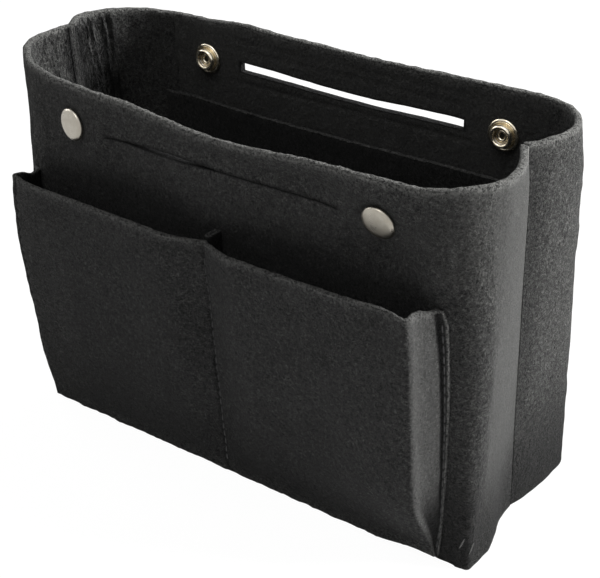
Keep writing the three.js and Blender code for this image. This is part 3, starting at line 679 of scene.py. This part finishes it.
def pocket(material):
    """Both pockets in one piece of felt, from flange to flange."""
    rows = row_heights(POCKET_FOOT + 0.2, POCKET_TOP - 0.9)
    grids = []
    for face in (0, 1):
        halves = []
        for side in (-1, 1):
            grid = []
            for z in rows:
                x, y = pocket_line(z, side)[face]
                x = side * x
                on_wall = face_at(corner_at("front", side, z), 0, np.abs(x))
                y = y + on_wall * smoothstep(POCKET_HALF_TOP - 12, POCKET_HALF_TOP, np.abs(x))
                root = smoothstep(-11, -3, y) * smoothstep(POCKET_HALF_TOP - 3, POCKET_HALF_TOP, np.abs(x))
                lift = 2.4 * smoothstep(72, 92, x) * (1 - smoothstep(0, 26, z)) * (1 - root)
                lift = lift + 2.2 * root * (x > 0) * (1 - smoothstep(0, 14, z))
                high = z + pocket_rise(x, z) * (1 - 0.5 * root) - 1.5 * root * (z / POCKET_TOP) ** 4 + lift
                grid.append(np.stack((x, y, high), axis=1))
            halves.append(np.array(grid).transpose(1, 0, 2))
        grids.append(settle(np.concatenate((halves[0][:0:-1], halves[1]))))

    columns = len(grids[0])
    flange = np.minimum(np.arange(columns), np.arange(columns)[::-1])
    root_end = FLANGE_STEPS + 2
    corner = FLANGE_STEPS + GUSSET_STEPS + 3
    on_flange = np.where(flange < FLANGE_STEPS, 0.8, 0.95) * (flange >= 2) * (flange < root_end)
    on_flange = on_flange[:, None]
    on_gusset = ((flange >= root_end) & (flange < corner))[:, None]
    on_right = (np.arange(columns) > columns / 2)[:, None]

    # Painted shade: along the middle seam and the left fold, on the flanges, and in the tucked foot of the
    # right gusset.
    def crease_shade(grid):
        lower = 1 - smoothstep(POCKET_TOP - 8, POCKET_TOP, grid[..., 2])
        fold = 0.85 * dip(grid[..., 0], fold_x(grid[..., 2]), 0.7)
        crease = 0.75 * dip(grid[..., 0], 0, 0.8) * lerp(0.4, 1, lower)
        back = smoothstep(0.15, 0.5, (corner - flange) / (corner - root_end))[:, None] * on_right
        tucked = 0.98 * on_gusset * back * (1 - smoothstep(20, 46, grid[..., 2]))
        return np.maximum.reduce((crease, fold * ~on_gusset, on_flange + 0 * crease, tucked))

    outer, inner = felted(grids[0]), felted(grids[1], 0.3)
    fold = dip(outer[..., 0], fold_x(outer[..., 2]), FOLD_WIDTH)
    outer[..., 1] += 0.8 * fold * ~on_gusset
    made = felt_sheet("felt_pocket", outer, inner, material, bulge=0.9, worn=(0.6, 0.3, 1, 1),
                      shade=crease_shade,
                      # Painted highlight: the gussets are pressed smooth and painted lighter.
                      pressed_and_lit=lambda grid: 0.9 * on_gusset + 0 * grid[..., 0],
                      # Painted shade on the pocket's inner face.
                      shade_inside=lambda grid: np.full(grid.shape[:2], 0.5))
    fold_route = []
    for row in outer[corner:columns // 2].transpose(1, 0, 2):
        fold_route.append([np.interp(fold_x(row[0, 2]), row[:, 0], row[:, axis]) for axis in range(3)])
    routes = (("fold", fold_route), ("middle", outer[columns // 2]), ("flange", outer[-5]))
    for label, route in routes:
        stitches(f"stitches_{label}", "front_shell", route[3:-4], (0, -1, 0), THREAD)
    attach(made, "front_shell")
    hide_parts("front_pocket_panel", "pocket_gusset_left", "pocket_gusset_right")


def pocket_divider(material):
    """The fold of felt that holds the pocket's middle seam: from the wall out and back again."""
    rows = row_heights(DIVIDER_FOOT, POCKET_TOP + 0.2)
    faces = []
    for half in (DIVIDER_HALF, 0.15):
        front = -pocket_standoff(0.0, rows) + GAP + DIVIDER_HALF
        turns = np.linspace(-math.pi / 2, math.pi / 2, 9)[1:-1]
        line = [(-half, lerp(-GAP, front, share)) for share in np.linspace(0, 1, 9)]
        way_back = [(-x, y) for x, y in line[::-1]]
        line += [(half * math.sin(a), front - half * math.cos(a)) for a in turns] + way_back
        faces.append(settle(np.array([np.stack((x + 0 * rows, y, rows), axis=1) for x, y in line])))
    # Painted shade: the divider is painted dark all over.
    made = felt_sheet("felt_divider", *faces, material, bulge=0.7, worn=(0.3, 0, 0, 0),
                      shade=lambda grid: np.full(grid.shape[:2], 0.6))
    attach(made, "front_shell")
    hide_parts("pocket_divider")


def inner_pocket(material):
    rows = row_heights(INNER_POCKET_FOOT, INNER_POCKET_TOP - 0.8)
    half = INNER_POCKET_HALF + 4
    xs = np.linspace(-half, half, 104)
    outer, inner = [], []
    for x in xs:
        side = -1 if x < 0 else 1
        share = (rows - INNER_POCKET_FOOT) / (INNER_POCKET_TOP - INNER_POCKET_FOOT)
        mouth = 2 * share**3 * math.cos(x / half * math.pi / 2)
        on_wall = np.array([face_at(corner_at("rear", side, z), FELT + GAP, abs(x)) for z in rows])
        back = DEPTH - on_wall - mouth
        thin = POCKET_FELT * (1 - 0.75 * smoothstep(half - 4, half, abs(x)))
        outer.append(np.stack((np.full(len(rows), x), back, rows), axis=1))
        inner.append(np.stack((np.full(len(rows), x), back - thin, rows), axis=1))
    outer, inner = settle(np.array(outer)), felted(settle(np.array(inner)))
    # Painted shade: the inner pocket is painted darker all over.
    made = felt_sheet("felt_inner_pocket", outer, inner, material, bulge=0.8, worn=(0.2, 0, 0, 0),
                      shade=lambda grid: np.full(grid.shape[:2], 0.5))
    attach(made, "rear_shell")
    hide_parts("inner_pocket_panel")


def softened(profile, radius):
    """A closed turned profile whose corners are rounded off."""
    points = np.array(profile, float)
    made = []
    for before, corner, after in zip(np.roll(points, 1, axis=0), points, np.roll(points, -1, axis=0)):
        if corner[0] < AXIS_NEAR:
            made.append(corner)
            continue
        ways = [before - corner, after - corner]
        lengths = [max(np.linalg.norm(way), 1e-9) for way in ways]
        starts = [corner + way * min(radius / length, 0.45) for way, length in zip(ways, lengths)]
        for share in np.linspace(0, 1, 4):
            first, second = lerp(starts[0], corner, share), lerp(corner, starts[1], share)
            made.append(lerp(first, second, share))
    return made


def turned(name, node, body, profile, material, radius=0.15):
    """A metal piece turned round the axis of a snap, from [radius, y] pairs, replacing a node."""
    low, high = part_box(node)
    centre = ((low + high) / 2 - Vector(ORIGIN)) / MM
    ring = softened(profile, radius)
    points = []
    for r, y in ring:
        for angle in np.arange(TURNED_SIDES) * 2 * math.pi / TURNED_SIDES:
            points.append((centre.x + r * math.cos(angle), y, centre.z + r * math.sin(angle)))
    faces = []
    count = len(ring)
    for i in range(count):
        after = (i + 1) % count
        start, end = i * TURNED_SIDES, after * TURNED_SIDES
        on_axis = [ring[at][0] < AXIS_NEAR for at in (i, after)]
        if all(on_axis):
            continue
        for quad in band(start, end, TURNED_SIDES):
            if on_axis[0]:
                quad = (start, *quad[2:])
            elif on_axis[1]:
                quad = (*quad[:2], end)
            faces.append(quad)
    made = mesh_object(name, seated(points), faces, material, sharp=60)
    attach(made, body)
    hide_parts(node)
    return made


def seated(points):
    """Moves a snap's points as the felt that it is fixed to has moved."""
    points = np.array(points)
    side = np.sign(points[:, 0].mean())
    seat = np.array((side * SNAP_X, points[:, 1].mean(), SNAP_Z))
    front = seat[1] < MIDDLE
    moved = points + (settle(seat[None])[0] - seat)
    if front and side < 0:
        moved[:, 1] -= TILT_LEFT * (points[:, 0] + SNAP_X)
    elif front:
        moved[:, 1] -= TILT_RIGHT * (points[:, 2] - SNAP_Z)
    return moved


def dome(radius, seat, rise, sign):
    """The profile of a cap's face, from its middle out: flat, with a rounded rim."""
    shares = np.sin(np.linspace(0, 1, 22)[:-1] * math.pi / 2)
    heights = (1 - shares**9) ** 0.5 * (1 - 0.12 * shares**2)
    return [(radius * share, seat + sign * rise * height) for share, height in zip(shares, heights)]


def snap(label, cap_metal, socket_metal):
    under = -GAP
    edge = under - CAP_EDGE
    stud_seat = FELT + GAP
    stud_tip = stud_seat + STUD_HEIGHT
    post_end = stud_tip + GAP
    turned(f"cap_{label}", f"snap_cap_{label}", "front_shell", [
        *dome(CAP_RADIUS, edge, CAP_RISE, -1), (CAP_RADIUS, edge), (CAP_RADIUS - 0.35, under),
        (POST_RADIUS, under), (POST_RADIUS, post_end),
        (POST_LIP, post_end), (POST_LIP, post_end + 0.5), (0, post_end + 0.5),
    ], cap_metal)
    turned(f"stud_{label}", f"snap_stud_{label}", "front_shell", [
        (SNAP_BORE, stud_seat), (STUD_FLANGE, stud_seat), (STUD_FLANGE, stud_seat + 0.8),
        (3.5, stud_seat + 1), (2.7, stud_seat + 1.6), (3.05, stud_seat + 2.6), (3.05, stud_seat + 3.1),
        (2.5, stud_tip), (SNAP_BORE, stud_tip),
    ], cap_metal)
    seat = DEPTH - FELT - GAP
    floor, tip = seat - SOCKET_FLOOR, seat - SOCKET_HEIGHT
    turns = np.linspace(0, math.pi, 9)
    bead = [(BEAD_RADIUS + 0.75 * math.cos(a), seat - 0.45 - 0.7 * math.sin(a)) for a in turns]
    turned(f"socket_{label}", f"snap_socket_{label}", "rear_shell", [
        (SNAP_BORE, seat), (SOCKET_RADIUS - 0.25, seat), (SOCKET_RADIUS, seat - 0.35), *bead,
        (4.9, floor + 0.1), (4.8, tip + 0.9), (4.55, tip + 0.3), (4.15, tip), (3.6, tip + 0.05),
        (3.2, tip + 0.35), (3.2, tip + 0.55), (3.8, tip + 0.55), (3.8, floor), (SNAP_BORE, floor),
    ], socket_metal)
    back = DEPTH + GAP
    roll = floor - GAP
    turned(f"back_cap_{label}", f"snap_back_cap_{label}", "rear_shell", [
        *dome(BACK_CAP_RADIUS, back + 0.3, BACK_CAP_RISE, 1), (BACK_CAP_RADIUS, back + 0.3),
        (BACK_CAP_RADIUS - 0.3, back), (POST_RADIUS, back), (POST_RADIUS, roll), (2.6, roll),
        (2.6, roll - 0.45), (2.2, roll - 0.7), (POST_RADIUS, roll - 0.7), (1.25, roll - 0.4),
        (1.25, back), (0, back),
    ], socket_metal)


def spring(label, material):
    """The open wire ring in a socket that grips the stud."""
    low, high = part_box(f"snap_spring_{label}")
    centre = ((low + high) / 2 - Vector(ORIGIN)) / MM
    radius = (high.z - low.z) / 2 / MM - WIRE_RADIUS
    path = [(centre.x + radius * math.cos(a), centre.y, centre.z + radius * math.sin(a))
            for a in np.linspace(math.radians(22), math.radians(338), 60)]
    made = tube(f"spring_{label}", seated(path), WIRE_RADIUS, 10, material)
    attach(made, "rear_shell")
    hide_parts(f"snap_spring_{label}")


def tube(name, path, radius, sides, material, tapers=None):
    """One closed tube along a path, or several joined in one mesh if path is a list of paths."""
    paths = [path] if np.ndim(path[0][0]) == 0 else path
    points, faces = [], []
    for line in paths:
        line = np.array(line, float)
        start = len(points)
        for i, place in enumerate(line):
            ahead = line[min(i + 1, len(line) - 1)] - line[max(i - 1, 0)]
            ahead /= np.linalg.norm(ahead)
            side = np.cross(ahead, (0.3, 0.9, 0.2))
            side /= np.linalg.norm(side)
            other = np.cross(ahead, side)
            thick = radius * (tapers[i] if tapers else 1)
            for a in np.arange(sides) * 2 * math.pi / sides:
                points.append(place + thick * (math.cos(a) * side + math.sin(a) * other))
        for ring in range(start, start + (len(line) - 1) * sides, sides):
            faces += band(ring, ring + sides, sides)
        faces.append(tuple(start + j for j in range(sides))[::-1])
        faces.append(tuple(start + (len(line) - 1) * sides + j for j in range(sides)))
    return mesh_object(name, points, faces, material)


def stitches(name, body, route, out, material, length=STITCH):
    """A row of stitches along a route of points on the felt, out being the way it faces."""
    route = np.array(route, float)
    steps = np.linalg.norm(np.diff(route, axis=0), axis=1)
    way = np.concatenate(([0], np.cumsum(steps)))
    starts = np.arange(0.1, way[-1] - length, length + STITCH_GAP)
    lines = []
    for start in starts:
        line = []
        for share in np.linspace(0, 1, len(STITCH_TAPER)):
            at = start + share * length
            place = np.array([np.interp(at, way, route[:, axis]) for axis in range(3)])
            line.append(place + np.array(out) * (0.5 * math.sin(math.pi * share) - 0.35) * THREAD_RADIUS)
        lines.append(line)
    made = tube(name, lines, THREAD_RADIUS, 6, material, STITCH_TAPER)
    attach(made, body)


def bar_tacks(material):
    """Two thick stitches by the foot of the front shell's right corner."""
    places = (((108.6, -0.2, 9.6), (110.9, 0.5, 16)), ((111.9, 1.3, 7), (113, 3.2, 13)))
    for number, (start, end) in enumerate(places):
        route = settle(np.linspace(start, end, 8))
        stitches(f"bar_tack_{number}", "base", route, (0.5, -0.8, 0), material, 5.2)


def grey(level):
    return (level, level, level)


def node_material(name):
    material = bpy.data.materials.new(name)
    material.use_nodes = True
    nodes = material.node_tree.nodes
    nodes.clear()
    output = nodes.new("ShaderNodeOutputMaterial")
    shader = nodes.new("ShaderNodeBsdfPrincipled")
    material.node_tree.links.new(shader.outputs["BSDF"], output.inputs["Surface"])
    return material, shader


class Graph:
    """Shorthand for the nodes that materials and the world are made of."""

    def __init__(self, owner):
        self.nodes = owner.node_tree.nodes
        self.links = owner.node_tree.links

    def add(self, kind, inputs, **settings):
        """A node whose inputs are set to values, or linked to the outputs of other nodes."""
        node = self.nodes.new(f"ShaderNode{kind}")
        for key, value in settings.items():
            setattr(node, key, value)
        for key, value in inputs.items():
            if isinstance(value, bpy.types.NodeSocket):
                self.links.new(value, node.inputs[key])
            else:
                node.inputs[key].default_value = value
        return node

    def attribute(self, name, output):
        return self.add("Attribute", {}, attribute_name=name).outputs[output]

    def noise(self, place, scale, detail, roughness, distortion=0.0, stretch=(1, 1, 1), turn=(0, 0, 0)):
        mapping = self.add("Mapping", {"Scale": stretch, "Rotation": turn, "Vector": place})
        values = {"Scale": scale, "Detail": detail, "Roughness": roughness, "Distortion": distortion}
        return self.add("TexNoise", {**values, "Vector": mapping.outputs["Vector"]}).outputs["Fac"]

    def ranged(self, value, low, high, to_low=0.0, to_high=1.0):
        limits = {"From Min": low, "From Max": high, "To Min": to_low, "To Max": to_high}
        return self.add("MapRange", {**limits, "Value": value}).outputs["Result"]

    def math(self, operation, a, b):
        return self.add("Math", {0: a, 1: b}, operation=operation).outputs["Value"]

    def times(self, a, b):
        return self.math("MULTIPLY", a, b)

    def contour(self, value, level, width):
        """1 where the value is at that level, falling to 0 at a difference of width."""
        return self.ranged(self.math("ABSOLUTE", self.math("SUBTRACT", value, level), 0.0), 0, width, 1, 0)

    def mix(self, factor, a, b):
        colours = [(*value, 1) if isinstance(value, tuple) else value for value in (a, b)]
        inputs = {"Factor": factor, "A": colours[0], "B": colours[1]}
        return self.add("Mix", inputs, data_type="RGBA").outputs["Result"]

    def bump(self, height, strength, distance, shader):
        node = self.add("Bump", {"Strength": strength, "Distance": distance, "Height": height})
        self.links.new(node.outputs["Normal"], shader.inputs["Normal"])

    def rays(self, *kinds):
        """1 for rays of those kinds, 0 for the others."""
        path = self.add("LightPath", {})
        found = path.outputs[f"Is {kinds[0]} Ray"]
        for kind in kinds[1:]:
            found = self.math("MAXIMUM", found, path.outputs[f"Is {kind} Ray"])
        return found

    def output(self, kind, share, first, second):
        """Ends the graph in a mix of two shaders."""
        choose = self.add("MixShader", {"Fac": share, 1: first.outputs[0], 2: second.outputs[0]})
        self.add(kind, {"Surface": choose.outputs["Shader"]})


def felt_material(name, dark, light, fleck):
    """Needled felt: pits between matted lumps, with pale curly fibres lying on them. The
    fibres are thin contours of warped noise, broken up by a coarser one. The pits of creased felt
    are darkened as painted shade, one attribute paints more shade and another paints light."""
    material, shader = node_material(name)
    graph = Graph(material)
    shader.inputs["Roughness"].default_value = 1
    shader.inputs["Specular IOR Level"].default_value = 0
    shader.inputs["Sheen Weight"].default_value = 0.06
    shader.inputs["Sheen Roughness"].default_value = 0.5
    rest = graph.attribute("rest_place", "Vector")
    nap = graph.attribute("nap", "Fac")
    pebble = graph.noise(rest, 1150, 3, 0.6, 0.8)
    crumple = graph.noise(rest, 330, 2, 0.5, 1.4)
    fibre = graph.noise(rest, 2600, 3, 0.6, 1.2)
    mottle = graph.noise(rest, 60, 4, 0.6)
    curls = [graph.contour(graph.noise(rest, scale, 1, 0.4, warp, (1, 1, 1), turn), 0.5, 0.045)
             for scale, warp, turn in ((430, 2.2, (0, 0, 0)), (560, 1.6, (0.7, 0.4, 1.1)))]
    curl = graph.math("MAXIMUM", *curls)
    broken = graph.ranged(graph.noise(rest, 620, 3, 0.6), 0.42, 0.6)
    curl = graph.times(curl, broken)
    lumped = graph.ranged(pebble, 0.38, 0.62)
    colour = graph.mix(lumped, dark, light)
    colour = graph.mix(graph.ranged(mottle, 0.4, 0.66, 0, 0.62), colour, dark)
    opened = graph.times(graph.times(lumped, nap), 0.22)
    colour = graph.mix(opened, colour, fleck)
    colour = graph.mix(graph.times(curl, graph.ranged(nap, 0, 1, 0.3, 0.9)), colour, fleck)
    worn = graph.times(graph.attribute("wear", "Fac"), graph.ranged(pebble, 0.4, 0.58, 0.05, 1))
    colour = graph.mix(worn, colour, fleck)
    creased = graph.attribute("creased", "Fac")
    folds = graph.noise(rest, 360, 3, 0.55, 1.2, (1, 1, 0.4))
    # Painted shade: the pits of creased felt are darkened, and deepened in the bump.
    shaded_pits = graph.times(graph.ranged(folds, 0.51, 0.43), creased)
    colour = graph.mix(graph.times(shaded_pits, 0.85), colour, grey(0.002))
    # Painted light: pressed felt, and inner faces given light, are made paler.
    colour = graph.mix(graph.times(graph.attribute("pressed_and_lit", "Fac"), 0.16), colour, fleck)
    # Painted shade: the colour goes nearly black where the shade attribute says.
    colour = graph.mix(graph.attribute("shade", "Fac"), colour, grey(0.003))
    graph.links.new(colour, shader.inputs["Base Color"])
    height = graph.math("ADD", graph.times(fibre, 0.3), pebble)
    height = graph.math("ADD", graph.times(curl, 0.5), height)
    height = graph.math("ADD", graph.times(crumple, 0.9), height)
    height = graph.times(height, graph.ranged(nap, 0, 1, 0.5, 1.4))
    height = graph.math("SUBTRACT", height, graph.times(shaded_pits, 1.2))
    graph.bump(height, 1.0, 1.1 * MM, shader)
    return material


def thread_material(name, dark, light):
    material, shader = node_material(name)
    graph = Graph(material)
    shader.inputs["Roughness"].default_value = 0.7
    rest = graph.attribute("rest_place", "Vector")
    twist = graph.noise(rest, 3000, 2, 0.5)
    colour = graph.mix(graph.ranged(twist, 0.35, 0.65), dark, light)
    graph.links.new(colour, shader.inputs["Base Color"])
    graph.bump(twist, 0.5, 0.1 * MM, shader)
    return material


def metal_material(name, colour, tarnish, roughness):
    material, shader = node_material(name)
    graph = Graph(material)
    shader.inputs["Metallic"].default_value = 1
    rest = graph.attribute("rest_place", "Vector")
    cloud = graph.noise(rest, 420, 3, 0.55)
    grain = graph.noise(rest, 2600, 2, 0.5)
    clouded = graph.mix(graph.ranged(cloud, 0.4, 0.75, 0, 0.5), colour, tarnish)
    graph.links.new(clouded, shader.inputs["Base Color"])
    rough = graph.ranged(cloud, 0.3, 0.7, roughness - 0.05, roughness + 0.08)
    graph.links.new(rough, shader.inputs["Roughness"])
    graph.bump(grain, 0.25, 0.02 * MM, shader)
    return material


# The camera is the pinhole camera fitted to the photograph.
CAMERA_PLACE = (309.74, -358.11, 359.91)
CAMERA_YAW = math.radians(37.22)
CAMERA_PITCH = math.radians(29.96)
CAMERA_ROLL = math.radians(-1.67)
FOCAL_PIXELS = 1419.94
IMAGE_WIDTH = 600
IMAGE_CENTRE = (300, 289)
PRINCIPAL_POINT = (299.74, 282.78)


def make_camera():
    data = bpy.data.cameras.new("camera")
    data.sensor_fit = "HORIZONTAL"
    data.sensor_width = 36
    data.lens = FOCAL_PIXELS / IMAGE_WIDTH * data.sensor_width
    data.shift_x = (IMAGE_CENTRE[0] - PRINCIPAL_POINT[0]) / IMAGE_WIDTH
    data.shift_y = (PRINCIPAL_POINT[1] - IMAGE_CENTRE[1]) / IMAGE_WIDTH
    data.clip_start, data.clip_end = 0.02, 20
    camera = link("camera", data)
    forward = Vector((-math.sin(CAMERA_YAW) * math.cos(CAMERA_PITCH),
                      math.cos(CAMERA_YAW) * math.cos(CAMERA_PITCH), -math.sin(CAMERA_PITCH)))
    right = Vector((math.cos(CAMERA_YAW), math.sin(CAMERA_YAW), 0))
    up = right.cross(forward)
    turned_right = math.cos(CAMERA_ROLL) * right + math.sin(CAMERA_ROLL) * up
    turned_up = math.cos(CAMERA_ROLL) * up - math.sin(CAMERA_ROLL) * right
    matrix = Matrix((turned_right, turned_up, -forward)).transposed().to_4x4()
    matrix.translation = Vector(CAMERA_PLACE) * MM + Vector(ORIGIN)
    camera.matrix_world = matrix
    bpy.context.scene.camera = camera


def area_light(name, place, target, size, power):
    data = bpy.data.lights.new(name, "AREA")
    data.shape = "SQUARE"
    data.size = size
    data.energy = power
    light = link(name, data)
    light.location = place
    light.rotation_euler = (Vector(target) - Vector(place)).to_track_quat("-Z", "Y").to_euler()


FLOOR_HALF = 6
FLOOR_DROP = 0.3


def make_floor():
    """A pale floor that looks white to the camera and lights the felt from below as a grey one."""
    mesh = bpy.data.meshes.new("floor")
    corners = [(x * FLOOR_HALF, y * FLOOR_HALF, 0) for x, y in ((-1, -1), (1, -1), (1, 1), (-1, 1))]
    mesh.from_pydata(corners, [], [(0, 1, 2, 3)])
    floor = link("floor", mesh)
    floor.location.z = -FLOOR_DROP * MM
    material = bpy.data.materials.new("floor")
    material.use_nodes = True
    graph = Graph(material)
    graph.nodes.clear()
    matte = graph.add("BsdfDiffuse", {"Color": (*grey(0.75), 1)})
    pale = graph.add("BsdfDiffuse", {"Color": (*grey(0.05), 1)})
    glow = graph.add("Emission", {"Color": (*grey(0.97), 1)})
    seen = graph.add("AddShader", {0: pale.outputs["BSDF"], 1: glow.outputs["Emission"]})
    graph.output("OutputMaterial", graph.rays("Camera", "Glossy", "Transmission"), matte, seen)
    mesh.materials.append(material)


def make_world():
    world = bpy.data.worlds.new("world")
    bpy.context.scene.world = world
    world.use_nodes = True
    graph = Graph(world)
    graph.nodes.clear()
    dim, white = [graph.add("Background", {"Color": (*grey(1), 1), "Strength": light}) for light in (0.22, 1)]
    graph.output("OutputWorld", graph.rays("Camera", "Glossy"), dim, white)


# Each light's place, target, width and power, in metres and watts
LIGHTS = {
    "key": ((0.76, 0.42, 0.5), (0.1, 0.02, 0.1), 0.35, 23),
    "top": ((0.1, 0.8, 1.2), (0, 0, 0.1), 0.8, 20),
    "front": ((0.1, -0.7, 1.5), (0, 0, 0.1), 0.8, 6.5),
    "left": ((-0.9, 0.1, 0.5), (-0.1, 0, 0.08), 0.6, 4.5),
}

make_camera()
make_floor()
make_world()
for name, values in LIGHTS.items():
    area_light(name, *values)

BODY_FELT = felt_material("charcoal_felt", grey(0.009), grey(0.026), (0.17, 0.17, 0.162))
POCKET_CLOTH = felt_material("thin_felt", grey(0.009), grey(0.027), (0.17, 0.17, 0.163))
THREAD = thread_material("dark_thread", grey(0.008), grey(0.03))
PALE_THREAD = thread_material("pale_thread", grey(0.03), (0.1, 0.1, 0.095))
CAP_METAL = metal_material("satin_nickel", (0.385, 0.36, 0.31), (0.3, 0.27, 0.22), 0.3)
SOCKET_METAL = metal_material("warm_nickel", (0.82, 0.75, 0.61), (0.55, 0.46, 0.31), 0.2)
WIRE = metal_material("spring_wire", (0.55, 0.52, 0.48), (0.4, 0.36, 0.32), 0.25)

for shell in ("front", "rear"):
    for side in (-1, 1):
        shell_end(shell, side, BODY_FELT)
wall("front", FRONT_SLIT_Z, FRONT_SLIT_HEIGHT, BODY_FELT, FRONT_GROOVES, SLIT_GAPE)
wall("rear", SNAP_Z, REAR_SLOT_HEIGHT, BODY_FELT, REAR_GROOVES)
base_panel(BODY_FELT)
pocket(POCKET_CLOTH)
pocket_divider(POCKET_CLOTH)
inner_pocket(POCKET_CLOTH)
bar_tacks(PALE_THREAD)
for label in ("left", "right"):
    snap(label, CAP_METAL, SOCKET_METAL)
    spring(label, WIRE)

bpy.context.scene.view_settings.view_transform = "Standard"
